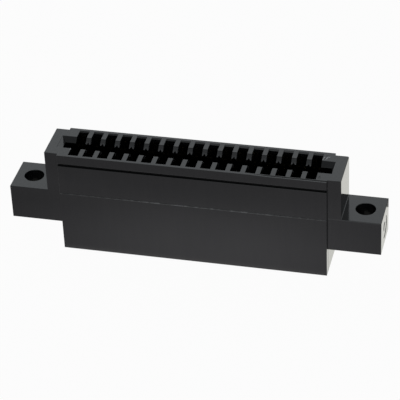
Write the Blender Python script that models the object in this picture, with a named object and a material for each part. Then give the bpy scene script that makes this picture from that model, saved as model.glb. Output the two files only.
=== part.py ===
"""Card edge connector with two rows of snap-in contacts, in metres, +Z towards the card.

The origin is the centre of the housing's bottom face. X runs along the card slot, and -Y is the front.
The housing is one moulding. Each contact is stamped flat, folded into a channel and pushed in from below
until its latch tongue springs out over a ledge in the housing.
"""
import math

import bmesh
import bpy
from mathutils import Vector

MM = 0.001

# Contact pattern
PITCH = 2.54 * MM
POSITIONS = 17
RIB_THICKNESS = 0.84 * MM       # between neighbouring cavities, at the card slot
CHAMBER_WALL = 0.64 * MM        # between neighbouring rear chambers
ENTRY_LAND = 0.24 * MM          # what the entry chamfers leave of that wall at the bottom face

# Housing, seen from above
BODY_DEPTH = 7.62 * MM          # end blocks and ears, front to back
SLAB_PROUD = 0.62 * MM          # slab beyond the end blocks, on each long side
PARTING_STEP = 0.06 * MM        # upper mould half smaller all round than the lower
SLAB_END_WALL = 1.90 * MM       # last cavity to the slab's end
SLOT_END_RUN = 2.33 * MM        # last cavity to the end of the slot's mouth
BLOCK_END_WALL = 1.90 * MM      # end of the slot's mouth to the end block's outer face
EAR_TO_HOLE = 3.495 * MM        # end block's outer face to the mounting hole's axis
HOLE_TO_EAR_END = 3.235 * MM
HOLE_RADIUS = 1.70 * MM
HOLE_SIDES = 32

# Housing, seen from the front
REAR_HEIGHT = 9.55 * MM         # bottom face to the floor that the card stops on
SLOT_DEPTH = 9.50 * MM
EAR_BOTTOM = 5.08 * MM
EAR_THICKNESS = 6.35 * MM
LIP_HEIGHT = 1.63 * MM
GROOVE_HEIGHT = 0.50 * MM
GROOVE_DEPTH = 0.40 * MM

# Card slot
CARD_THICKNESS = 1.57 * MM
CARD_CLEARANCE = 0.115 * MM     # on each side of the card
LEAD_IN_SPREAD = 0.90 * MM      # mouth beyond the slot, on each side
LEAD_IN_END = 0.50 * MM         # and at each end
LEAD_IN_DEPTH = 0.72 * MM
RELIEF_DEPTH = 0.25 * MM        # V relief down the slot edge of each rib
RELIEF_LIFT = 0.40 * MM         # from the floor to where the relief starts

# Cavities, and the chambers behind them
CAVITY_WALL = 0.80 * MM         # cavity to the slab's long face
CHAMBER_OFFSET = 0.05 * MM      # chamber reaches this much further out than the cavity
RIM_CHAMFER = 0.25 * MM
WEB_HALF = 1.00 * MM            # half of the wall between the two rows
FLOOR_RELIEF = 0.20 * MM        # card floor to the stop shelf in each cavity
STOP_SHELF = 0.85 * MM          # thickness of the shelf that a contact stops under
STOP_OVERHANG = 0.60 * MM
LEDGE_DEPTH = 0.55 * MM         # latch ledge, out from the chamber's outer wall

# Gate mark, where the moulding was broken off its runner
GATE_RADIUS = 2.00 * MM
GATE_STUB_RADIUS = 0.80 * MM
GATE_DEPTH = 0.12 * MM
GATE_SIDES = 24

# Contact
SHEET = 0.22 * MM
FIT = 0.25 * MM                 # clearance all round a contact in its chamber
FOLD_RADIUS = 0.15 * MM
BODY_LENGTH = 3.30 * MM
WINDOW_TOP = 1.00 * MM          # body's top edge to the window behind the tongue
WINDOW_LENGTH = 1.90 * MM
WINDOW_HALF = 0.30 * MM
TONGUE_HALF = 0.17 * MM
TONGUE_LENGTH = 1.75 * MM
TONGUE_SPRING = 0.50 * MM       # how far the tongue's free end stands out
NECK_LENGTH = 0.55 * MM
CONDUCTOR_BARREL = 1.60 * MM
INSULATION_BARREL = 1.40 * MM
BARREL_FLARE = 0.10 * MM
CONDUCTOR_WALL_CUT = 0.25 * MM  # conductor barrel's walls lower than the body's
CONTACT_GAP = 1.24 * MM         # between facing leaves, less than the card
CONTACT_RISE = 3.20 * MM        # card floor to the point of contact
TIP_RISE = 1.90 * MM            # point of contact to the leaf's tip
TIP_FLARE = 0.70 * MM
LEAF_SPLIT = 0.24 * MM
LEAF_SHOULDER = 0.40 * MM       # over which a leaf grows to its full width
TIP_NARROWING = 0.07 * MM       # taken off each side of a leaf at its tip
LEAF_STEPS = 4
TIP_STEPS = 2

# Worked out from the sizes above
PAST = 1.0 * MM                 # how far a cutter runs past the face that it opens
HEIGHT = REAR_HEIGHT + SLOT_DEPTH
EAR_TOP = EAR_BOTTOM + EAR_THICKNESS
SLAB_HALF_DEPTH = BODY_DEPTH / 2 + SLAB_PROUD
CAVITY_WIDTH = PITCH - RIB_THICKNESS
CHAMBER_WIDTH = PITCH - CHAMBER_WALL
ENTRY_CHAMFER = (CHAMBER_WALL - ENTRY_LAND) / 2
CAVITY_REACH = SLAB_HALF_DEPTH - CAVITY_WALL
CHAMBER_REACH = CAVITY_REACH + CHAMBER_OFFSET
LEDGE_REACH = CHAMBER_REACH - LEDGE_DEPTH
ROW_HALF = (POSITIONS - 1) * PITCH / 2
CAVITIES_HALF = ROW_HALF + CAVITY_WIDTH / 2
SLAB_HALF = CAVITIES_HALF + SLAB_END_WALL
MOUTH_HALF = CAVITIES_HALF + SLOT_END_RUN
BLOCK_HALF = MOUTH_HALF + BLOCK_END_WALL
HOLE_X = BLOCK_HALF + EAR_TO_HOLE
EAR_HALF = HOLE_X + HOLE_TO_EAR_END
SLOT_HALF = CARD_THICKNESS / 2 + CARD_CLEARANCE
SHELF_TOP = REAR_HEIGHT - FLOOR_RELIEF
SHELF_UNDERSIDE = SHELF_TOP - STOP_SHELF
BODY_TOP = SHELF_UNDERSIDE - FIT
TONGUE_END = BODY_TOP - WINDOW_TOP - TONGUE_LENGTH
LEDGE_TOP = TONGUE_END - FIT

HOUSING_BLACK = (0.012, 0.012, 0.013, 1.0)
CONTACT_METAL = (0.78, 0.60, 0.30, 1.0)


def clear_scene():
    for old in list(bpy.data.objects):
        bpy.data.objects.remove(old, do_unlink=True)


def make_material(name, color, roughness, metallic):
    material = bpy.data.materials.new(name)
    material.use_nodes = True
    shader = material.node_tree.nodes["Principled BSDF"]
    shader.inputs["Base Color"].default_value = color
    shader.inputs["Roughness"].default_value = roughness
    shader.inputs["Metallic"].default_value = metallic
    material.diffuse_color = color
    return material


def position_x(index):
    return index * PITCH - ROW_HALF


def add_prism(bm, outline, axis, low, high):
    """Add a closed solid: an outline in the plane across an axis, extruded along that axis."""
    place = {
        "X": lambda a, b: Vector((low, a, b)),
        "Y": lambda a, b: Vector((a, low, b)),
        "Z": lambda a, b: Vector((a, b, low)),
    }[axis]
    along = {"X": Vector((1, 0, 0)), "Y": Vector((0, 1, 0)), "Z": Vector((0, 0, 1))}[axis]
    base = bm.faces.new([bm.verts.new(place(a, b)) for a, b in outline])
    grown = bmesh.ops.extrude_face_region(bm, geom=[base], use_keep_orig=True)
    moved = [item for item in grown["geom"] if isinstance(item, bmesh.types.BMVert)]
    bmesh.ops.translate(bm, vec=along * (high - low), verts=moved)


def ring(radius, sides):
    turns = [2 * math.pi * (step + 0.5) / sides for step in range(sides)]
    return [(radius * math.cos(turn), radius * math.sin(turn)) for turn in turns]


def mirrored(outline):
    return [(-a, b) for a, b in reversed(outline)]


def finish_mesh(bm, name):
    bmesh.ops.recalc_face_normals(bm, faces=bm.faces)
    mesh = bpy.data.meshes.new(name)
    bm.to_mesh(mesh)
    bm.free()
    return mesh


def add_object(name, mesh, parent=None, material=None):
    thing = bpy.data.objects.new(name, mesh)
    bpy.context.collection.objects.link(thing)
    thing.parent = parent
    if material is not None and not mesh.materials:
        mesh.materials.append(material)
    return thing


def combine(target, tool, operation):
    """Combine the target with a guide object, which stays in the file as a wire outline."""
    tool.hide_render = True
    tool.display_type = "WIRE"
    modifier = target.modifiers.new(tool.name, "BOOLEAN")
    modifier.operation = operation
    modifier.solver = "EXACT"
    modifier.object = tool


def slab_outline():
    """Half of the slab's section across its length, mirrored to close it."""
    upper = SLAB_HALF_DEPTH - PARTING_STEP
    groove_top = HEIGHT - LIP_HEIGHT
    groove_floor = groove_top - GROOVE_HEIGHT
    right = [
        (SLAB_HALF_DEPTH, 0.0),
        (SLAB_HALF_DEPTH, EAR_TOP),
        (upper, EAR_TOP),
        (upper, groove_floor),
        (upper - GROOVE_DEPTH, groove_floor),
        (upper - GROOVE_DEPTH, groove_top),
        (upper, groove_top),
        (upper, HEIGHT),
    ]
    return right + mirrored(right)


def slab_mesh():
    bm = bmesh.new()
    add_prism(bm, slab_outline(), "X", -SLAB_HALF, SLAB_HALF)
    return finish_mesh(bm, "housing")


def end_pieces():
    """An end block standing on its mounting ear, at both ends, rooted inside the slab."""
    root = SLAB_HALF - SLAB_END_WALL / 2
    outline = [
        (root, EAR_BOTTOM),
        (EAR_HALF, EAR_BOTTOM),
        (EAR_HALF, EAR_TOP),
        (BLOCK_HALF, EAR_TOP),
        (BLOCK_HALF, HEIGHT),
        (root, HEIGHT),
    ]
    bm = bmesh.new()
    for side in (outline, mirrored(outline)):
        add_prism(bm, side, "Y", -BODY_DEPTH / 2, BODY_DEPTH / 2)
    return add_object("end_pieces", finish_mesh(bm, "end_pieces"))


def card_slot():
    """The slot for the card, with a lead-in round its mouth. Rings of corners, bridged from floor to mouth."""
    bottom_half = MOUTH_HALF - LEAD_IN_END
    slope_end = LEAD_IN_END / LEAD_IN_DEPTH
    slope_side = LEAD_IN_SPREAD / LEAD_IN_DEPTH
    levels = [
        (REAR_HEIGHT, bottom_half, SLOT_HALF),
        (HEIGHT - LEAD_IN_DEPTH, bottom_half, SLOT_HALF),
        (HEIGHT + PAST, MOUTH_HALF + PAST * slope_end, SLOT_HALF + LEAD_IN_SPREAD + PAST * slope_side),
    ]
    bm = bmesh.new()
    rings = []
    for z, half_x, half_y in levels:
        corners = [(-half_x, -half_y), (half_x, -half_y), (half_x, half_y), (-half_x, half_y)]
        rings.append([bm.verts.new((x, y, z)) for x, y in corners])
    bm.faces.new(rings[0])
    bm.faces.new(rings[-1])
    for lower, upper in zip(rings, rings[1:]):
        for corner in range(4):
            after = (corner + 1) % 4
            bm.faces.new((lower[corner], lower[after], upper[after], upper[corner]))
    return add_object("card_slot", finish_mesh(bm, "card_slot"))


def cavities():
    """The part of each cavity that opens to the slot, down into the chamber behind it."""
    inner = SLOT_HALF / 2
    shelf_edge = WEB_HALF + STOP_OVERHANG
    into_chamber = SHELF_UNDERSIDE - STOP_SHELF / 2
    outline = [
        (inner, HEIGHT + PAST),
        (inner, SHELF_TOP),
        (shelf_edge, SHELF_TOP),
        (shelf_edge, into_chamber),
        (CAVITY_REACH, into_chamber),
        (CAVITY_REACH, HEIGHT - RIM_CHAMFER),
        (CAVITY_REACH + RIM_CHAMFER + PAST, HEIGHT + PAST),
    ]
    bm = bmesh.new()
    for index in range(POSITIONS):
        x = position_x(index)
        for side in (outline, mirrored(outline)):
            add_prism(bm, side, "X", x - CAVITY_WIDTH / 2, x + CAVITY_WIDTH / 2)
    return add_object("cavities", finish_mesh(bm, "cavities"))


def chambers():
    """The chamber behind each cavity, with its latch ledge and a chamfered entry in the bottom face."""
    outline = [
        (WEB_HALF, ENTRY_CHAMFER),
        (WEB_HALF, SHELF_UNDERSIDE),
        (CHAMBER_REACH, SHELF_UNDERSIDE),
        (CHAMBER_REACH, LEDGE_TOP),
        (LEDGE_REACH, LEDGE_TOP),
        (LEDGE_REACH, ENTRY_CHAMFER),
    ]
    bm = bmesh.new()
    for index in range(POSITIONS):
        x = position_x(index)
        for side in (outline, mirrored(outline)):
            add_prism(bm, side, "X", x - CHAMBER_WIDTH / 2, x + CHAMBER_WIDTH / 2)
    entries = [face for face in bm.faces if all(vert.co.z < LEDGE_TOP / 2 for vert in face.verts)]
    for entry in entries:
        middle = entry.calc_center_median()
        grown = bmesh.ops.extrude_face_region(bm, geom=[entry])
        flare = ENTRY_CHAMFER + PAST
        for item in grown["geom"]:
            if isinstance(item, bmesh.types.BMVert):
                item.co.x += math.copysign(flare, item.co.x - middle.x)
                item.co.y += math.copysign(flare, item.co.y - middle.y)
                item.co.z -= flare
        bm.faces.remove(entry)
    return add_object("chambers", finish_mesh(bm, "chambers"))


def rib_reliefs():
    """A V down the slot edge of every rib, which gives the lead-in there its swallow-tail foot."""
    mouth = SLOT_HALF / 2
    apex = SLOT_HALF + RELIEF_DEPTH
    bm = bmesh.new()
    for index in range(POSITIONS - 1):
        x = position_x(index) + PITCH / 2
        for side in (1, -1):
            outline = [
                (x, side * apex),
                (x - (apex - mouth), side * mouth),
                (x + (apex - mouth), side * mouth),
            ]
            add_prism(bm, outline, "Z", REAR_HEIGHT + RELIEF_LIFT, HEIGHT + PAST)
    return add_object("rib_reliefs", finish_mesh(bm, "rib_reliefs"))


def mounting_holes():
    bm = bmesh.new()
    for x in (-HOLE_X, HOLE_X):
        outline = [(x + a, b) for a, b in ring(HOLE_RADIUS, HOLE_SIDES)]
        add_prism(bm, outline, "Z", EAR_BOTTOM - PAST, EAR_TOP + PAST)
    return add_object("mounting_holes", finish_mesh(bm, "mounting_holes"))


def gate_mark():
    """A round recess in the end of the right ear, about the stub where the moulding was broken off."""
    middle = EAR_BOTTOM + EAR_THICKNESS / 2
    floor = EAR_HALF - GATE_DEPTH
    bm = bmesh.new()
    section = [
        (floor, GATE_STUB_RADIUS),
        (floor, GATE_RADIUS),
        (EAR_HALF + PAST, GATE_RADIUS),
        (EAR_HALF + PAST, GATE_STUB_RADIUS),
    ]
    corners = [bm.verts.new((x, 0.0, middle + radius)) for x, radius in section]
    sides = [bm.edges.new((corner, corners[step - 1])) for step, corner in enumerate(corners)]
    bmesh.ops.spin(bm, geom=corners + sides, cent=(0.0, 0.0, middle), axis=(1.0, 0.0, 0.0),
                   angle=2 * math.pi, steps=GATE_SIDES, use_merge=True)
    return add_object("gate_mark", finish_mesh(bm, "gate_mark"))


def make_housing(parent, material):
    housing = add_object("housing", slab_mesh(), parent, material)
    combine(housing, end_pieces(), "UNION")
    for cutter in (card_slot(), cavities(), chambers(), rib_reliefs(), mounting_holes(), gate_mark()):
        combine(housing, cutter, "DIFFERENCE")
    return housing


def channel_section(spine_y, wall_end_y, flare):
    """Across the folded contact, from one wall's edge over the spine to the other wall's edge."""
    half = CHAMBER_WIDTH / 2 - FIT - SHEET / 2
    left = [
        (-half - flare, wall_end_y),
        (-half, spine_y - FOLD_RADIUS),
        (-half + FOLD_RADIUS, spine_y),
    ]
    return left + mirrored(left)


def leaf_path(spine_y):
    """Points (y, z, sideways narrowing) up a leaf: a soft S to the point of contact, then out to the tip."""
    start = BODY_TOP + LEAF_SHOULDER
    touch_y = CONTACT_GAP / 2 + SHEET / 2
    touch_z = REAR_HEIGHT + CONTACT_RISE
    path = []
    for step in range(LEAF_STEPS + 1):
        t = step / LEAF_STEPS
        swing = t * t * (3 - 2 * t)
        path.append((spine_y + (touch_y - spine_y) * swing, start + (touch_z - start) * t, 0.0))
    for step in range(1, TIP_STEPS + 1):
        t = step / TIP_STEPS
        path.append((touch_y + TIP_FLARE * t * t, touch_z + TIP_RISE * t, TIP_NARROWING * t))
    return path


def add_row(bm, section, z):
    return [bm.verts.new((x, y, z)) for x, y in section]


def join_rows(bm, lower, upper):
    for step in range(len(lower) - 1):
        bm.faces.new((lower[step], lower[step + 1], upper[step + 1], upper[step]))


def contact_mesh():
    """The contact's sheet as its middle surface, already folded, from the wire's end up to the leaves."""
    spine_y = LEDGE_REACH - FIT - SHEET / 2
    wall_end = WEB_HALF + FIT
    body_bottom = BODY_TOP - BODY_LENGTH
    conductor_top = body_bottom - NECK_LENGTH
    conductor_bottom = conductor_top - CONDUCTOR_BARREL
    insulation_top = conductor_bottom - NECK_LENGTH
    insulation_bottom = insulation_top - INSULATION_BARREL
    window_top = BODY_TOP - WINDOW_TOP
    window_bottom = window_top - WINDOW_LENGTH
    bm = bmesh.new()

    # Two open crimp barrels and the body, each a channel; only the spine runs through the necks between
    barrel = channel_section(spine_y, wall_end, BARREL_FLARE)
    insulation = [add_row(bm, barrel, z) for z in (insulation_bottom, insulation_top)]
    barrel = channel_section(spine_y, wall_end + CONDUCTOR_WALL_CUT, BARREL_FLARE)
    conductor = [add_row(bm, barrel, z) for z in (conductor_bottom, conductor_top)]
    channel = channel_section(spine_y, wall_end, 0.0)
    bottom, top = [add_row(bm, channel, z) for z in (body_bottom, BODY_TOP)]
    join_rows(bm, *insulation)
    join_rows(bm, insulation[1][2:4], conductor[0][2:4])
    join_rows(bm, *conductor)
    join_rows(bm, conductor[1][2:4], bottom[2:4])
    join_rows(bm, bottom[:3], top[:3])
    join_rows(bm, bottom[3:], top[3:])

    # The body's spine as a frame round the window that the latch tongue is cut from
    sill = add_row(bm, [(-WINDOW_HALF, spine_y), (WINDOW_HALF, spine_y)], window_bottom)
    head_x = (-WINDOW_HALF, -TONGUE_HALF, TONGUE_HALF, WINDOW_HALF)
    head = add_row(bm, [(x, spine_y) for x in head_x], window_top)
    split = add_row(bm, [(-TONGUE_HALF, spine_y), (TONGUE_HALF, spine_y)], BODY_TOP)
    leaf_roots = [top[2], *split, top[3]]
    join_rows(bm, bottom[2:4], sill)
    join_rows(bm, [bottom[2], sill[0]], [top[2], head[0]])
    join_rows(bm, [sill[1], bottom[3]], [head[3], top[3]])
    join_rows(bm, head, leaf_roots)

    # The tongue hangs from the window's head and springs outwards
    free_y = spine_y + TONGUE_SPRING
    free_end = add_row(bm, [(-TONGUE_HALF, free_y), (TONGUE_HALF, free_y)], TONGUE_END)
    join_rows(bm, free_end, head[1:3])

    # Two leaves, one on each side of the split
    outer = CAVITY_WIDTH / 2 - FIT
    inner = LEAF_SPLIT / 2
    for side, lower in ((-1, leaf_roots[:2]), (1, leaf_roots[2:])):
        for y, z, narrowing in leaf_path(spine_y):
            edges = sorted((side * (outer - narrowing), side * (inner + narrowing)))
            upper = add_row(bm, [(x, y) for x in edges], z)
            join_rows(bm, lower, upper)
            lower = upper
    return finish_mesh(bm, "contact")


def make_contacts(parent, material):
    mesh = contact_mesh()
    for row, turn in (("front", math.pi), ("back", 0.0)):
        for index in range(POSITIONS):
            contact = add_object(f"contact_{row}_{index + 1:02d}", mesh, parent, material)
            contact.location = (position_x(index), 0.0, 0.0)
            contact.rotation_euler = (0.0, 0.0, turn)
            thickness = contact.modifiers.new("sheet", "SOLIDIFY")
            thickness.thickness = SHEET
            thickness.offset = 0.0
            thickness.use_even_offset = True


def main():
    clear_scene()
    connector = bpy.data.objects.new("card_edge_connector", None)
    bpy.context.collection.objects.link(connector)
    make_housing(connector, make_material("black_moulding", HOUSING_BLACK, 0.35, 0.0))
    make_contacts(connector, make_material("contact_metal", CONTACT_METAL, 0.30, 1.0))


main()
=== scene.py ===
"""The looks of a card edge connector: a black moulded housing with plated contacts, on a pale floor.

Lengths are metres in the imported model's frame: X along the card slot, -Y the front, +Z towards the card.
Materials work in millimetres. A range is its two ends and then, where they aren't 0 and 1, the values there.
"""
import math
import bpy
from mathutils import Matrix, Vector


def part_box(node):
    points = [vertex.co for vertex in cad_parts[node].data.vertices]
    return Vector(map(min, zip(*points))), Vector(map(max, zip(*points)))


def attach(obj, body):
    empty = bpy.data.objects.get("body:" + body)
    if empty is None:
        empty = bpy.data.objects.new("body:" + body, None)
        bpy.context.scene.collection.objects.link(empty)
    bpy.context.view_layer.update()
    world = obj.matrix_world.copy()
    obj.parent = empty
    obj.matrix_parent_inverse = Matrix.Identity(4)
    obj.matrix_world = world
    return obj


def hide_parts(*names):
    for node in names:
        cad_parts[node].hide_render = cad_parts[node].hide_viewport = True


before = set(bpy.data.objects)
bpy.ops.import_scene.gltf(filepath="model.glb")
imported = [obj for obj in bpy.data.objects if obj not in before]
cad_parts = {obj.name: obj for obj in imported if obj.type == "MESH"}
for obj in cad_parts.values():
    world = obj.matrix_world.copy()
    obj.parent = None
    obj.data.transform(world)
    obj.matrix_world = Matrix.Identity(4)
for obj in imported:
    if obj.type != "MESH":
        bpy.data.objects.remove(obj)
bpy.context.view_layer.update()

from types import SimpleNamespace

import bmesh
import bpy
from mathutils import Matrix, Vector
from mathutils.noise import noise as perlin

MM = 0.001
ALONG_X = (1.0, 0.0, 0.0)
ALONG_Y = (0.0, 1.0, 0.0)

# Camera, fitted to the object's corners in the photograph
LENS = 183.83                       # on Blender's 36 mm sensor
AZIMUTH = math.radians(14.877)
ELEVATION = math.radians(34.73)
ROLL = math.radians(-2.746)
DISTANCE = 348.3 * MM
LOOK_AT = Vector((0.0, 0.0, 8.0 * MM))
SHIFT_RIGHT = 0.392 * MM
SHIFT_UP = 1.422 * MM

# Levels of the housing
HOUSING_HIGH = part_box("housing")[1]
HEIGHT = HOUSING_HIGH.z
PARTING_HEIGHT = 11.43 * MM         # also the level of the ears' tops
PARTING_STEP = 0.06 * MM
EAR_UNDERSIDE = 5.08 * MM
LEAD_IN_DEPTH = 0.72 * MM
LEAD_IN_FOOT = HEIGHT - LEAD_IN_DEPTH
ENTRY_DEPTH = 0.20 * MM             # chamfer round the rear chambers' mouths
GROOVE_TOP = HEIGHT - 1.63 * MM
GROOVE_FLOOR = GROOVE_TOP - 0.50 * MM

# Plan of the housing
SLAB_HALF_DEPTH = HOUSING_HIGH.y
SLAB_HALF = 23.07 * MM
BLOCK_HALF = 25.40 * MM
BLOCK_HALF_DEPTH = 3.81 * MM
EAR_END = HOUSING_HIGH.x
CONTACT_PITCH = 2.54 * MM
CAVITIES_HALF = 21.17 * MM          # out to the ends of the rows of cavities
CHAMBER_MIDDLE = 2.28 * MM          # out to the middle of each row of rear chambers
MOUTH_HALF = 23.50 * MM
MOUTH_HALF_DEPTH = 3.88 * MM        # out to the rim chamfers of the cavities
SLOPE_HALF_DEPTH = 1.80 * MM        # out to where the ribs' slopes meet the top
LEAD_IN_END = 0.50 * MM             # run of the lead-in at each end of the slot
GATE_CENTRE = Vector((EAR_END, 0.0, 8.255 * MM))
GATE_RADIUS = 2.00 * MM
GATE_DEPTH = 0.12 * MM
TOP_CORNER = Vector((BLOCK_HALF, BLOCK_HALF_DEPTH, HEIGHT))

# Unevenness of this one moulding
STRIP_DROP = 0.10 * MM              # of the top's front strip, at its right, where two mould parts met
STRIP_BACK = -3.97 * MM
STRIP_FRONT = -3.99 * MM
STRIP_START = 10.0 * MM             # the strip begins to drop here
STRIP_FULL = 13.0 * MM
LEFT_END_EASE = LEAD_IN_DEPTH - LEAD_IN_END     # the lead-in's left end runs out to a slope of 45 degrees
BACK_RIM_EASE = 0.10 * MM           # the back row's rim chamfers are this much narrower
GATE_EASE = GATE_DEPTH / 2
WORN_CORNER = 0.40 * MM             # back right corner of the right end block, at the top
WORN_CORNER_STEPS = 3

# Edges
OUTER_EDGE = 0.07 * MM
SLAB_CORNER = 0.05 * MM
FINE_EDGE = 0.035 * MM
GATE_EDGE = 0.04 * MM
STEP_EDGE = 0.02 * MM
FILLET = 0.08 * MM                  # between the end blocks and the ears' tops
SHEET_EDGE = 0.025 * MM             # sheared edges of the contacts
SHORT = 0.06 * MM                   # no longer than this, an edge only crosses a step
MERGE = 0.002 * MM
FLAT = math.radians(0.4)
BENT = math.radians(2.0)
SHARP = math.radians(25.0)
SHEARED = math.radians(60.0)

# Flash along the parting step
FLASH_STEPS = 360
FLASH_HEIGHT = 0.05 * MM
FLASH_THICKNESS = 0.045 * MM
FLASH_WAVES = 1.6                   # to the millimetre, along the step
FLASH_SIDES_APART = 7.0             # so that the two sides are torn differently
FLASH_TORN = 0.55                   # how far out it reaches on average, from 0 to 1
FLASH_RAGGED = 0.9                  # and how much that varies
FLASH_ROOT = 0.4                    # share of the thickness that is left where it reaches least
FLASH_TIP = 0.5                     # share of the thickness at its top edge

# Colours
COOL_BLACK = (0.0098, 0.0102, 0.0112, 1)
WARM_BLACK = (0.0125, 0.0125, 0.0130, 1)
# painted shade: a deeper black put in the cavities and the groove, where shade falls
PAINTED_SHADE_BLACK = (0.0015, 0.0015, 0.0015, 1)
# painted shade in the notch up each rib's slope
NOTCH_SHADE_BLACK = (0.010, 0.010, 0.010, 1)
# painted light on the ribs' slopes
SLOPE_LIT_GREY = (0.165, 0.165, 0.168, 1)
# painted highlight along the parting line
PARTING_HIGHLIGHT_GREY = (0.360, 0.360, 0.360, 1)
RUB_GREY = (0.550, 0.550, 0.550, 1)
FLASH_DARK = (0.060, 0.060, 0.061, 1)
# painted highlight on the flash
FLASH_HIGHLIGHT_PALE = (0.440, 0.440, 0.440, 1)
PLATING_DEEP = (0.46, 0.36, 0.19, 1)
PLATING_PALE = (0.56, 0.46, 0.27, 1)
FLOOR_GREY = (0.88, 0.88, 0.88, 1)
WHITE = (1, 1, 1, 1)

# Noise: where its middling values lie, narrowly and widely
NARROW = (0.35, 0.65)
WIDE = (0.3, 0.7)

# Finish of the moulding
ROUGHNESS = (0.10, 0.13)
ROUGHNESS_SWAY = 0.02               # more or less, with the grain and again with the streaks
DULL_ROUGHNESS = 0.40               # added where the moulding has lost its gloss
GRAIN_COAT = (0.75, 1.0)            # gloss left by the grain
STREAK_COAT = (0.88, 1.0)
GRAIN_HEIGHT = 0.0024               # millimetres
STREAK_HEIGHT = 0.0016
COAT_ROUGHNESS = 0.05
PLASTIC_IOR = 1.5
PLASTIC_SPECULAR = 0.6

# Finish of the flash and the contacts
FLASH_ROUGHNESS = (0.35, 0.55)
PLATING_ROUGHNESS = (0.34, 0.48)
DRAWN_STRENGTH = 0.5                # of the fine lines drawn along a contact
DRAWN_HEIGHT = 0.002 * MM

# Marks on the moulding, and painted light and shade on it, in millimetres
CAVITY_SHADE_FADE = 0.3                     # the painted shade fades over this much below the lead-in's foot
ENTRY_FADE = (0.3, 0.8)             # and down between these heights above the bottom face
SLOPE_START = 0.1                   # the painted light on the ribs' slopes begins this far below their foot
SLOPE_END = (0.12, 0.02)            # and ends between these depths below the top
SLOPE_FADE = (0.7, 0.3)             # it fades between these depths
SLOPE_LEAST = 0.45                  # to this share
NOTCH_HALF_WIDTH = 0.24             # painted shade up the middle of each rib's slope
NOTCH_HEIGHT = 0.34
NOTCH_EDGE = (-0.05, 0.03)
GROOVE_RIM = 0.02                   # margin at the groove's top and floor
GROOVE_FADE = (0.12, 0.05)          # its inside ends between these depths behind the slab's face
LINE_DROP = 0.08                    # painted highlight along the parting line, this far below the parting height
LINE_EDGE = (0.06, 0.10)
LINE_FADE = (0.18, 0.10)            # it begins between these depths behind the slab's face
BLOCK_LINE = 0.15                   # its share on the right end block
HIGHLIGHT_MIDDLE = 2.0                   # to the right, where the painted highlight is strongest
HIGHLIGHT_SPREAD = (2.0, 27.0, 0.85, 0.28)
HIGHLIGHT_PATCHES = (0.38, 0.66)
HIGHLIGHT_LEAST = 0.35
SCUFF_FORWARD = 2.7                 # scuff on the right ear's end, from its back top corner
SCUFF_DOWN = 1.9
SCUFF_EDGE = (0.9, 1.05)            # shares of that reach
STREAK_PLACE = 3.2                  # in front of the middle, down the slab's right side
STREAK_EDGE = (0.15, 0.35, 0.5, 0.0)
BESIDE_BLOCK = 0.5                  # how dull the slab's narrow sides are beside the blocks
TOP_FADE = (0.05, 0.02)             # a mark on the top face begins between these depths below it
ON_FACE = 0.03                      # no further than this from a face is on it
CLEAR = 0.05                        # and further than this is clear of it

# Rubs on the top face: start and end in plan, in millimetres, and how strong they are
LIGHT_RUBS = (
    ((21.74, 2.35), (21.95, 3.00), 1.0),
    ((21.95, 3.00), (22.25, 3.05), 1.0),
    ((21.27, 2.20), (21.42, 2.90), 0.8),
    ((-21.31, -2.10), (-21.25, -1.98), 1.0),
    ((-22.34, -1.36), (-22.28, -1.26), 0.7),
)
DARK_RUBS = (
    ((21.68, 3.30), (22.10, 3.38), 1.0),
    ((21.50, 2.36), (21.60, 2.72), 0.8),
    ((21.60, -2.95), (21.66, -2.80), 1.0),
    ((21.44, -3.35), (21.87, -3.24), 0.8),
    ((22.30, -4.20), (22.90, -4.24), 1.0),
)
RUB_WIDTH = 0.16

# Floor: its size, and its strength in glossy faces by place in millimetres
FLOOR_HALF = 3.0                    # metres
FLOOR_WHITE = 0.965                 # share of white that the camera sees; the rest keeps the shadow
FRONT_BY_Y = (-30.0, -8.0, 0.25, 0.42)
FRONT_BY_X = (-40.0, 40.0, 0.92, 1.12)
NEAR_BY_Y = (-24.0, -16.0)
NEAR_ENDS = (5.0, 40.0, 0.08, -0.34)
BEHIND_BY_Y = (-6.0, -2.0)
BEHIND_STRENGTH = 0.84
FRONT_TINT = (0.97, 0.96, 1.0, 1)
BEHIND_TINT = (1.0, 1.0, 0.94, 1)

# Studio air: its strength by direction, where 1 is straight along the axis
AIR_TINT = (0.95, 1.0, 1.03, 1)
AIR_STRENGTH = 0.15
BACK_BY_Y = (-0.2, 0.8, 0.0, 0.40)
BACK_BY_X = (-0.08, 0.10, 1.0, 0.0)
AHEAD_BY_Y = (-0.95, -0.6, 0.35, 0.0)
AHEAD_BY_X = (-0.235, -0.200, 0.1, 1.0)
LOW_RIGHT_BY_X = (0.25, 0.45)
LOW_RIGHT_BY_Y = (0.4, 0.7)
LOW_RIGHT_BY_Z = (0.25, 0.40, 0.5, 0.0)


def new_tree(owner):
    """The owner's node tree, emptied."""
    owner.use_nodes = True
    owner.node_tree.nodes.clear()
    return owner.node_tree


def add(tree, kind, inputs=None, **settings):
    """A node with its settings and its sockets' values; a socket given another node's output is linked."""
    node = tree.nodes.new(kind)
    for key, value in settings.items():
        setattr(node, key, value)
    for key, value in (inputs or {}).items():
        if isinstance(value, bpy.types.NodeSocket):
            tree.links.new(value, node.inputs[key])
        else:
            node.inputs[key].default_value = value
    return node


def place_on(tree):
    """Where a surface's point lies, in millimetres, and how far it is along and across from the middle."""
    metres = add(tree, "ShaderNodeTexCoord").outputs["Object"]
    place = add(tree, "ShaderNodeVectorMath", {0: metres, "Scale": 1 / MM}, operation="SCALE").outputs[0]
    x, y, z = add(tree, "ShaderNodeSeparateXYZ", {0: place}).outputs
    return SimpleNamespace(place=place, x=x, y=y, z=z,
                           along=calc(tree, "ABSOLUTE", x), across=calc(tree, "ABSOLUTE", y))


def stretched(tree, place, scale):
    return add(tree, "ShaderNodeVectorMath", {0: place, 1: scale}, operation="MULTIPLY").outputs[0]


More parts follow.
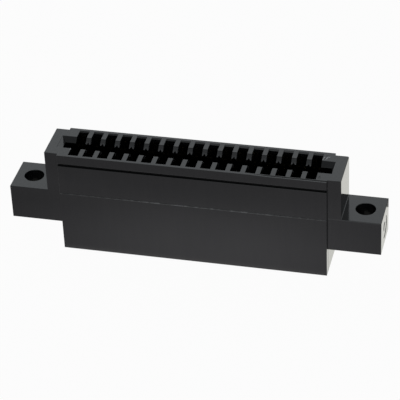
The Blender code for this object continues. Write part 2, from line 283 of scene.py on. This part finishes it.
def mm(length):
    """A length in the materials' unit."""
    return length / MM


def short_of(level, *distances):
    """Places this far short of a level, all in the materials' unit."""
    return [level - distance for distance in distances]


def noise(tree, place, scale, detail=2.0, roughness=0.5):
    inputs = {"Vector": place, "Scale": scale, "Detail": detail, "Roughness": roughness}
    return add(tree, "ShaderNodeTexNoise", inputs).outputs["Fac"]


def remap(tree, value, low, high, to_low=0.0, to_high=1.0):
    inputs = {"Value": value, "From Min": low, "From Max": high, "To Min": to_low, "To Max": to_high}
    return add(tree, "ShaderNodeMapRange", inputs, interpolation_type="SMOOTHSTEP").outputs["Result"]


def calc(tree, operation, *values):
    return add(tree, "ShaderNodeMath", dict(enumerate(values)), operation=operation).outputs[0]


def product(tree, first, *others):
    for other in others:
        first = calc(tree, "MULTIPLY", first, other)
    return first


def strongest(tree, first, *others):
    for other in others:
        first = calc(tree, "MAXIMUM", first, other)
    return first


def distance(tree, value, middle):
    """How far a value is from another, to either side."""
    return calc(tree, "ABSOLUTE", calc(tree, "SUBTRACT", value, middle))


def blend(tree, share, first, second):
    """Mix two colours."""
    mix = add(tree, "ShaderNodeMix", data_type="RGBA")
    for socket, value in ((mix.inputs[0], share), (mix.inputs[6], first), (mix.inputs[7], second)):
        if isinstance(value, bpy.types.NodeSocket):
            tree.links.new(value, socket)
        else:
            socket.default_value = value
    return mix.outputs[2]


def either(tree, share, first, second):
    """Mix two shaders."""
    return add(tree, "ShaderNodeMixShader", {0: share, 1: first, 2: second}).outputs[0]


def rub(tree, plan, start, end):
    """A short straight rub: 1 along the line between two points in plan, 0 beside it."""
    start = Vector((*start, 0.0))
    run = Vector((*end, 0.0)) - start
    offset = add(tree, "ShaderNodeVectorMath", {0: plan, 1: start}, operation="SUBTRACT").outputs["Vector"]
    along = add(tree, "ShaderNodeVectorMath", {0: offset, 1: run / run.length_squared},
                operation="DOT_PRODUCT").outputs["Value"]
    share = add(tree, "ShaderNodeClamp", {"Value": along}).outputs[0]
    nearest = add(tree, "ShaderNodeVectorMath", {0: run, "Scale": share}, operation="SCALE").outputs["Vector"]
    away = add(tree, "ShaderNodeVectorMath", {0: offset, 1: nearest}, operation="DISTANCE").outputs["Value"]
    return remap(tree, away, RUB_WIDTH / 4, RUB_WIDTH, 1.0, 0.0)


def top_rubs(tree, at, rubs):
    """The strongest of several rubs on the top face."""
    plan = stretched(tree, at.place, (1.0, 1.0, 0.0))
    on_top = remap(tree, at.z, *short_of(mm(HEIGHT), *TOP_FADE))
    return strongest(tree, *(product(tree, rub(tree, plan, start, end), on_top, amount)
                             for start, end, amount in rubs))


def painted_shade_in_cavities(tree, at):
    """The cavities' and chambers' walls, given painted shade: a deeper black deep in these recesses."""
    foot = mm(LEAD_IN_FOOT)
    return product(
        tree,
        calc(tree, "LESS_THAN", at.across, mm(MOUTH_HALF_DEPTH)),
        calc(tree, "LESS_THAN", at.along, mm(MOUTH_HALF - LEAD_IN_END) + ON_FACE),
        remap(tree, at.z, foot - CAVITY_SHADE_FADE, foot, 1.0, 0.0),
        remap(tree, at.z, *ENTRY_FADE),
    )


def painted_light_on_slopes(tree, at):
    """The ribs' slopes, with painted light on them, most at the foot."""
    foot = mm(LEAD_IN_FOOT)
    top = mm(HEIGHT)
    return product(
        tree,
        calc(tree, "LESS_THAN", at.across, mm(SLOPE_HALF_DEPTH)),
        calc(tree, "LESS_THAN", at.along, mm(CAVITIES_HALF)),
        remap(tree, at.z, foot - SLOPE_START, foot),
        remap(tree, at.z, *short_of(top, *SLOPE_END), 1.0, 0.0),
        remap(tree, at.z, *short_of(top, *SLOPE_FADE), 1.0, SLOPE_LEAST),
    )


def painted_shade_notches(tree, at):
    """Painted shade in the notch up the middle of each rib's slope, widest at the foot."""
    foot = mm(LEAD_IN_FOOT)
    pitch = mm(CONTACT_PITCH)
    in_pitch = calc(tree, "FRACT", calc(tree, "DIVIDE", at.x, pitch))
    from_rib = calc(tree, "MULTIPLY", distance(tree, in_pitch, 0.5), pitch)
    half_width = remap(tree, at.z, foot - SLOPE_START, foot + NOTCH_HEIGHT, NOTCH_HALF_WIDTH, 0.0)
    return remap(tree, calc(tree, "SUBTRACT", from_rib, half_width), *NOTCH_EDGE, 1.0, 0.0)


def groove_inside(tree, at):
    """The inside of the groove below the lip, which gets painted shade in its colour and a duller finish."""
    from_middle = distance(tree, at.z, mm(GROOVE_TOP + GROOVE_FLOOR) / 2)
    return product(
        tree,
        calc(tree, "LESS_THAN", from_middle, mm(GROOVE_TOP - GROOVE_FLOOR) / 2 - GROOVE_RIM),
        remap(tree, at.across, *short_of(mm(SLAB_HALF_DEPTH), *GROOVE_FADE), 1.0, 0.0),
        calc(tree, "GREATER_THAN", at.across, mm(BLOCK_HALF_DEPTH) + CLEAR),
    )


def parting_highlight_patches(tree, at, least):
    """How strong the painted highlight is along the parting line: in patches, and most in the middle."""
    patches = noise(tree, stretched(tree, at.place, (1.0, 0.1, 0.1)), scale=0.9, detail=4.0, roughness=0.7)
    most = remap(tree, distance(tree, at.x, HIGHLIGHT_MIDDLE), *HIGHLIGHT_SPREAD)
    return product(tree, remap(tree, patches, *HIGHLIGHT_PATCHES, least, 1.0), most)


def painted_parting_highlight(tree, at):
    """A painted highlight along the parting line, on the slab and faintly on the right end block."""
    line = remap(tree, distance(tree, at.z, mm(PARTING_HEIGHT) - LINE_DROP), *LINE_EDGE, 1.0, 0.0)
    on_slab = remap(tree, at.across, *short_of(mm(SLAB_HALF_DEPTH), *LINE_FADE))
    on_block = calc(tree, "GREATER_THAN", at.across, mm(BLOCK_HALF_DEPTH) - ON_FACE)
    on_right = calc(tree, "GREATER_THAN", at.x, mm(SLAB_HALF) + CLEAR)
    return strongest(
        tree,
        product(tree, line, on_slab, parting_highlight_patches(tree, at, HIGHLIGHT_LEAST)),
        product(tree, line, on_block, on_right, BLOCK_LINE),
    )


def ear_scuff(tree, at):
    """A dull three-cornered scuff on the right ear's end, at its back top corner."""
    back = calc(tree, "DIVIDE", calc(tree, "SUBTRACT", mm(BLOCK_HALF_DEPTH), at.y), SCUFF_FORWARD)
    down = calc(tree, "DIVIDE", calc(tree, "SUBTRACT", mm(PARTING_HEIGHT), at.z), SCUFF_DOWN)
    scuff = remap(tree, calc(tree, "ADD", back, down), *SCUFF_EDGE, 1.0, 0.0)
    return product(tree, scuff, calc(tree, "GREATER_THAN", at.x, mm(EAR_END) - CLEAR))


def dull_slab_sides(tree, at):
    """The slab's narrow sides: half dull beside the blocks, and a streak down the right one below the ear."""
    beside_block = product(
        tree,
        calc(tree, "LESS_THAN", distance(tree, at.along, mm(SLAB_HALF)), ON_FACE),
        calc(tree, "GREATER_THAN", at.z, mm(EAR_UNDERSIDE)),
        calc(tree, "GREATER_THAN", at.across, mm(BLOCK_HALF_DEPTH)),
        BESIDE_BLOCK,
    )
    streak = product(
        tree,
        remap(tree, distance(tree, at.y, -STREAK_PLACE), *STREAK_EDGE),
        calc(tree, "LESS_THAN", distance(tree, at.x, mm(SLAB_HALF)), ON_FACE),
        calc(tree, "LESS_THAN", at.z, mm(EAR_UNDERSIDE)),
    )
    return strongest(tree, beside_block, streak)


def black_moulding():
    """Black thermoplastic with a fine sparked mould texture, rubbed and scuffed in places, with painted shade
    in its cavities and groove and painted light on the ribs' slopes and along the parting line.
    """
    material = bpy.data.materials.new("black_moulding")
    tree = new_tree(material)
    at = place_on(tree)
    cloud = noise(tree, at.place, scale=0.35, detail=3.0)
    grain = noise(tree, at.place, scale=7.0, detail=3.0, roughness=0.6)
    streaks = noise(tree, stretched(tree, at.place, (2.6, 2.6, 0.16)), scale=1.0, detail=3.0)

    groove = groove_inside(tree, at)
    base = blend(tree, remap(tree, cloud, *NARROW), COOL_BLACK, WARM_BLACK)
    for share, color in (
        # painted shade on the walls of the cavities and chambers
        (painted_shade_in_cavities(tree, at), PAINTED_SHADE_BLACK),
        # painted light on the ribs' slopes, with painted shade in their notches
        (painted_light_on_slopes(tree, at), blend(tree, painted_shade_notches(tree, at), SLOPE_LIT_GREY, NOTCH_SHADE_BLACK)),
        # painted shade inside the groove
        (groove, PAINTED_SHADE_BLACK),
        # painted highlight along the parting line
        (painted_parting_highlight(tree, at), PARTING_HIGHLIGHT_GREY),
        (top_rubs(tree, at, LIGHT_RUBS), RUB_GREY),
    ):
        base = blend(tree, share, base, color)

    dark_rubs = top_rubs(tree, at, DARK_RUBS)
    dull = strongest(tree, dark_rubs, ear_scuff(tree, at), groove, dull_slab_sides(tree, at))
    rough = remap(tree, cloud, *WIDE, *ROUGHNESS)
    for pattern in (grain, streaks):
        rough = calc(tree, "ADD", rough, remap(tree, pattern, *WIDE, -ROUGHNESS_SWAY, ROUGHNESS_SWAY))
    rough = calc(tree, "MULTIPLY_ADD", dull, DULL_ROUGHNESS, rough)
    coat = product(tree, remap(tree, grain, *WIDE, *GRAIN_COAT), remap(tree, streaks, *WIDE, *STREAK_COAT),
                   calc(tree, "SUBTRACT", 1.0, dull))

    height = calc(tree, "MULTIPLY_ADD", streaks, STREAK_HEIGHT, calc(tree, "MULTIPLY", grain, GRAIN_HEIGHT))
    bump = add(tree, "ShaderNodeBump", {"Height": height, "Strength": 1.0, "Distance": MM})
    shader = add(tree, "ShaderNodeBsdfPrincipled", {
        "Base Color": base, "Roughness": rough, "Normal": bump.outputs["Normal"],
        "IOR": PLASTIC_IOR, "Specular IOR Level": PLASTIC_SPECULAR,
        "Coat Weight": coat, "Coat Roughness": COAT_ROUGHNESS, "Coat Normal": bump.outputs["Normal"],
    })
    add(tree, "ShaderNodeOutputMaterial", {"Surface": shader.outputs[0]})
    return material


def flash_painted_highlight():
    """The moulding's thin flash, with a painted highlight in patches along it."""
    material = bpy.data.materials.new("flash_painted_highlight")
    tree = new_tree(material)
    at = place_on(tree)
    base = blend(tree, parting_highlight_patches(tree, at, 0.0), FLASH_DARK, FLASH_HIGHLIGHT_PALE)
    rough = remap(tree, noise(tree, at.place, scale=9.0), *WIDE, *FLASH_ROUGHNESS)
    shader = add(tree, "ShaderNodeBsdfPrincipled", {"Base Color": base, "Roughness": rough})
    add(tree, "ShaderNodeOutputMaterial", {"Surface": shader.outputs[0]})
    return material


def contact_plating():
    """Bright plated copper alloy, drawn along the strip."""
    material = bpy.data.materials.new("contact_plating")
    tree = new_tree(material)
    at = place_on(tree)
    drawn = noise(tree, stretched(tree, at.place, (9.0, 9.0, 0.7)), scale=1.0, detail=3.0)
    cloud = noise(tree, at.place, scale=0.9)
    color = blend(tree, remap(tree, cloud, *NARROW), PLATING_DEEP, PLATING_PALE)
    rough = remap(tree, drawn, *WIDE, *PLATING_ROUGHNESS)
    lines = {"Height": drawn, "Strength": DRAWN_STRENGTH, "Distance": DRAWN_HEIGHT}
    bump = add(tree, "ShaderNodeBump", lines)
    shader = add(tree, "ShaderNodeBsdfPrincipled", {
        "Base Color": color, "Roughness": rough, "Metallic": 1.0, "Normal": bump.outputs["Normal"],
    })
    add(tree, "ShaderNodeOutputMaterial", {"Surface": shader.outputs[0]})
    return material


def edge_radius(edge):
    """How much an edge of the moulding is rounded. Inner corners are sharp, but for the ears' fillets."""
    if len(edge.link_faces) != 2 or edge.calc_face_angle() < SHARP:
        return 0.0
    a, b = (vert.co for vert in edge.verts)
    middle = (a + b) / 2
    if not edge.is_convex:
        at_ear = abs(abs(middle.x) - BLOCK_HALF) < MERGE and abs(middle.z - PARTING_HEIGHT) < MERGE
        return FILLET if at_ear else 0.0
    in_worn_corner = (middle - TOP_CORNER).length < 0.9 * WORN_CORNER
    if in_worn_corner:
        return 0.0
    in_mouth = abs(middle.x) < MOUTH_HALF + MERGE and abs(middle.y) < MOUTH_HALF_DEPTH + MERGE
    if in_mouth:
        shallow = min(a.z, b.z) > LEAD_IN_FOOT - MERGE or max(a.z, b.z) < ENTRY_DEPTH + MERGE
        return FINE_EDGE if shallow else 0.0
    if abs(middle.y) > BLOCK_HALF_DEPTH + MERGE:
        if abs(middle.z - PARTING_HEIGHT) < MERGE:
            return STEP_EDGE
        if middle.y < 0 and middle.z > HEIGHT - STRIP_DROP - MERGE:
            return STEP_EDGE if middle.y < STRIP_FRONT - MERGE else 0.0
        if middle.y > 0 and middle.z > HEIGHT - MERGE:
            return STEP_EDGE
        if abs(a.x - b.x) > SHORT and (middle.z < MERGE or middle.z > HEIGHT - MERGE):
            return OUTER_EDGE
        return SLAB_CORNER
    if (middle - GATE_CENTRE).length < GATE_RADIUS + SHORT:
        return GATE_EDGE
    return OUTER_EDGE


def turbulence(place):
    """Ragged noise, about -0.5 to 0.5, from three sizes of wave."""
    return sum(perlin(place * scale) / scale for scale in (1.0, 2.3, 5.1))


def finish_piece(bm, name, material):
    """Make the mesh a piece of the object, with its material, attached to the root body."""
    bmesh.ops.recalc_face_normals(bm, faces=bm.faces)
    mesh = bpy.data.meshes.new(name)
    bm.to_mesh(mesh)
    bm.free()
    mesh.materials.append(material)
    piece = bpy.data.objects.new(name, mesh)
    bpy.context.scene.collection.objects.link(piece)
    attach(piece, "root")
    return piece


def cut_faces(bm, faces, point, normal):
    """Cut the faces along a plane, and return the edges that lie on it."""
    parts = dict.fromkeys(item for face in faces for item in (*face.verts, *face.edges, face))
    cut = bmesh.ops.bisect_plane(bm, geom=list(parts), dist=MERGE / 4, plane_co=point, plane_no=normal)
    return [item for item in cut["geom_cut"] if isinstance(item, bmesh.types.BMEdge)]


def whole_faces(bm):
    """Join the merged triangles into whole planar faces. A face that goes round a hole is cut open there."""
    bmesh.ops.remove_doubles(bm, verts=bm.verts, dist=MERGE)
    for offset, below in ((0.0, math.inf), (CHAMBER_MIDDLE, ENTRY_DEPTH), (-CHAMBER_MIDDLE, ENTRY_DEPTH)):
        faces = [face for face in bm.faces if all(vert.co.z < below for vert in face.verts)]
        for edge in cut_faces(bm, faces, (0.0, offset, 0.0), ALONG_Y):
            edge.seam = True
    bmesh.ops.dissolve_limit(bm, angle_limit=FLAT, verts=bm.verts, edges=bm.edges, delimit={"SEAM"})


def lower_front_strip(bm):
    """Drop the right part of the top face's front strip by a small step."""
    cuts = (
        ((0.0, STRIP_BACK, 0.0), ALONG_Y, 0.0),
        ((0.0, STRIP_FRONT, 0.0), ALONG_Y, 0.0),
        ((STRIP_START, 0.0, 0.0), ALONG_X, STRIP_BACK),
        ((STRIP_FULL, 0.0, 0.0), ALONG_X, STRIP_BACK),
    )
    for point, normal, back in cuts:
        faces = [face for face in bm.faces
                 if all(vert.co.z > HEIGHT - MERGE and vert.co.y < back + MERGE for vert in face.verts)]
        cut_faces(bm, faces, point, normal)
    for vert in bm.verts:
        if vert.co.z > HEIGHT - MERGE and vert.co.y < STRIP_FRONT + MERGE:
            onset = (vert.co.x - STRIP_START) / (STRIP_FULL - STRIP_START)
            vert.co.z -= STRIP_DROP * max(0.0, min(1.0, onset))


def shift_uneven_places(bm):
    """Flatten the lead-in at the slot's left end, steepen the back rims, and halve the gate mark's depth."""
    for vert in bm.verts:
        on_top = vert.co.z > HEIGHT - MERGE
        from_gate = vert.co - GATE_CENTRE
        if on_top and abs(vert.co.x + MOUTH_HALF) < MERGE and abs(vert.co.y) < SLOPE_HALF_DEPTH + MERGE:
            vert.co.x -= LEFT_END_EASE
        elif on_top and abs(vert.co.y - MOUTH_HALF_DEPTH) < MERGE:
            vert.co.y -= BACK_RIM_EASE
        elif abs(from_gate.x + GATE_DEPTH) < MERGE and from_gate.length < GATE_RADIUS + 2 * SHORT:
            vert.co.x += GATE_EASE


def smooth_curved_walls(bm):
    """Shade curved walls smooth, such as those of the round holes. Flat faces stay flat."""
    for edge in bm.edges:
        if len(edge.link_faces) == 2:
            curved = BENT < edge.calc_face_angle() < SHARP
            edge.smooth = curved
            if curved:
                for face in edge.link_faces:
                    face.smooth = True


def housing_shell(material):
    """The moulding with its edges rounded as the mould leaves them."""
    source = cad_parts["housing"]
    bm = bmesh.new()
    bm.from_mesh(source.data)
    whole_faces(bm)
    lower_front_strip(bm)
    corner = min(bm.verts, key=lambda vert: (vert.co - TOP_CORNER).length)
    bmesh.ops.bevel(bm, geom=[corner], offset=WORN_CORNER, segments=WORN_CORNER_STEPS, profile=0.5,
                    affect="VERTICES", material=-1)
    smooth_curved_walls(bm)
    weights = bm.edges.layers.float.new("bevel_weight_edge")
    for edge in bm.edges:
        edge[weights] = edge_radius(edge) / OUTER_EDGE
    shift_uneven_places(bm)
    shell = finish_piece(bm, "housing_shell", material)
    rounding = shell.modifiers.new("rounding", "BEVEL")
    rounding.limit_method = "WEIGHT"
    rounding.width = OUTER_EDGE
    rounding.segments = 2
    rounding.use_clamp_overlap = False
    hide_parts("housing")
    return shell


def parting_flash(side, material):
    """A thin ragged fin that the mould left on the parting step of one long side (side is -1 or 1)."""
    bm = bmesh.new()
    bmesh.ops.create_cube(bm, size=1.0)
    long_edges = [edge for edge in bm.edges if abs(edge.verts[0].co.x - edge.verts[1].co.x) > 0.5]
    bmesh.ops.subdivide_edges(bm, edges=long_edges, cuts=FLASH_STEPS - 1, use_grid_fill=True)
    face = SLAB_HALF_DEPTH - PARTING_STEP
    for vert in bm.verts:
        x = vert.co.x * 2 * (SLAB_HALF - SLAB_CORNER)
        along = Vector((mm(x) * FLASH_WAVES, side * FLASH_SIDES_APART, 0.0))
        torn = max(0.0, min(1.0, FLASH_TORN + FLASH_RAGGED * turbulence(along)))
        top = vert.co.z > 0
        outer = vert.co.y * side > 0
        height = FLASH_HEIGHT * torn if top else -MERGE
        thickness = FLASH_THICKNESS * (FLASH_ROOT + (1 - FLASH_ROOT) * torn) * (FLASH_TIP if top else 1.0)
        stand = thickness if outer else -MERGE
        vert.co = Vector((x, side * (face + stand), PARTING_HEIGHT + height))
    return finish_piece(bm, "parting_flash_front" if side < 0 else "parting_flash_back", material)


def contact_piece(name, material):
    """A contact with its sheet's sheared edges eased, which stands for the plain one."""
    bm = bmesh.new()
    bm.from_mesh(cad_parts[name].data)
    bmesh.ops.remove_doubles(bm, verts=bm.verts, dist=MERGE)
    bmesh.ops.dissolve_limit(bm, angle_limit=FLAT, verts=bm.verts, edges=bm.edges)
    sheared = [edge for edge in bm.edges
               if edge.is_manifold and edge.is_convex and edge.calc_face_angle() > SHEARED]
    bmesh.ops.bevel(bm, geom=sheared, offset=SHEET_EDGE, segments=2, profile=0.5, affect="EDGES",
                    material=-1, clamp_overlap=True)
    piece = finish_piece(bm, name.replace("contact", "plated_contact"), material)
    piece.data.shade_smooth()
    piece.data.set_sharp_from_angle(angle=SHEARED)
    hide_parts(name)
    return piece


def floor():
    """A pale floor, which doesn't hide the object from below."""
    bm = bmesh.new()
    bmesh.ops.create_grid(bm, x_segments=1, y_segments=1, size=FLOOR_HALF)
    mesh = bpy.data.meshes.new("floor")
    bm.to_mesh(mesh)
    bm.free()
    mesh.materials.append(pale_floor())
    plane = bpy.data.objects.new("floor", mesh)
    bpy.context.scene.collection.objects.link(plane)


def pale_floor():
    """White to the camera, with a soft shadow. In gloss it is bright behind the object, dim in front."""
    material = bpy.data.materials.new("pale_floor")
    tree = new_tree(material)
    at = place_on(tree)
    near = remap(tree, at.y, *NEAR_BY_Y)
    ends = remap(tree, at.along, *NEAR_ENDS)
    front = product(tree, remap(tree, at.y, *FRONT_BY_Y), remap(tree, at.x, *FRONT_BY_X),
                    calc(tree, "MULTIPLY_ADD", near, ends, 1.0))
    behind = remap(tree, at.y, *BEHIND_BY_Y)
    strength = calc(tree, "MULTIPLY_ADD", behind, calc(tree, "SUBTRACT", BEHIND_STRENGTH, front), front)
    tint = blend(tree, behind, FRONT_TINT, BEHIND_TINT)

    matte = add(tree, "ShaderNodeBsdfDiffuse", {"Color": FLOOR_GREY}).outputs[0]
    white = add(tree, "ShaderNodeEmission", {"Color": WHITE, "Strength": 1.0}).outputs[0]
    shine = add(tree, "ShaderNodeEmission", {"Color": tint, "Strength": strength}).outputs[0]
    clear = add(tree, "ShaderNodeBsdfTransparent").outputs[0]
    light_path = add(tree, "ShaderNodeLightPath").outputs
    below = add(tree, "ShaderNodeNewGeometry").outputs["Backfacing"]
    seen = either(tree, FLOOR_WHITE, matte, white)
    lit = either(tree, light_path["Is Camera Ray"], matte, seen)
    mirrored = either(tree, light_path["Is Glossy Ray"], lit, shine)
    add(tree, "ShaderNodeOutputMaterial", {"Surface": either(tree, below, mirrored, clear)})
    return material


def surroundings():
    """White to the camera. Its light is dim, and stronger behind to the left, low behind to the right
    and straight in front.
    """
    world = bpy.data.worlds.new("studio")
    tree = new_tree(world)
    way = add(tree, "ShaderNodeTexCoord").outputs["Generated"]
    x, y, z = add(tree, "ShaderNodeSeparateXYZ", {0: way}).outputs
    back = product(tree, remap(tree, y, *BACK_BY_Y), remap(tree, x, *BACK_BY_X))
    ahead = product(tree, remap(tree, y, *AHEAD_BY_Y), remap(tree, x, *AHEAD_BY_X))
    low_right = product(tree, remap(tree, x, *LOW_RIGHT_BY_X), remap(tree, y, *LOW_RIGHT_BY_Y),
                        remap(tree, z, *LOW_RIGHT_BY_Z))
    strength = AIR_STRENGTH
    for light in (ahead, back, low_right):
        strength = calc(tree, "ADD", strength, light)
    air = add(tree, "ShaderNodeBackground", {"Color": AIR_TINT, "Strength": strength}).outputs[0]
    white = add(tree, "ShaderNodeBackground", {"Color": WHITE, "Strength": 1.0}).outputs[0]
    camera_ray = add(tree, "ShaderNodeLightPath").outputs["Is Camera Ray"]
    add(tree, "ShaderNodeOutputWorld", {"Surface": either(tree, camera_ray, air, white)})
    bpy.context.scene.world = world


def camera():
    back = Vector((
        math.sin(AZIMUTH) * math.cos(ELEVATION),
        -math.cos(AZIMUTH) * math.cos(ELEVATION),
        math.sin(ELEVATION),
    ))
    right = Vector((math.cos(AZIMUTH), math.sin(AZIMUTH), 0.0))
    up = back.cross(right)
    place = LOOK_AT + right * SHIFT_RIGHT + up * SHIFT_UP + back * DISTANCE
    across = right * math.cos(ROLL) + up * math.sin(ROLL)
    upward = up * math.cos(ROLL) - right * math.sin(ROLL)
    data = bpy.data.cameras.new("camera")
    data.lens = LENS
    data.clip_start = 10 * MM
    eye = bpy.data.objects.new("camera", data)
    eye.matrix_world = Matrix.Translation(place) @ Matrix((across, upward, back)).transposed().to_4x4()
    bpy.context.scene.collection.objects.link(eye)
    bpy.context.scene.camera = eye


bpy.context.scene.view_settings.view_transform = "Standard"
camera()
surroundings()
floor()
housing_shell(black_moulding())
flash = flash_painted_highlight()
for long_side in (-1, 1):
    parting_flash(long_side, flash)
plating = contact_plating()
for node in sorted(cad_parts):
    if node.startswith("contact_"):
        contact_piece(node, plating)
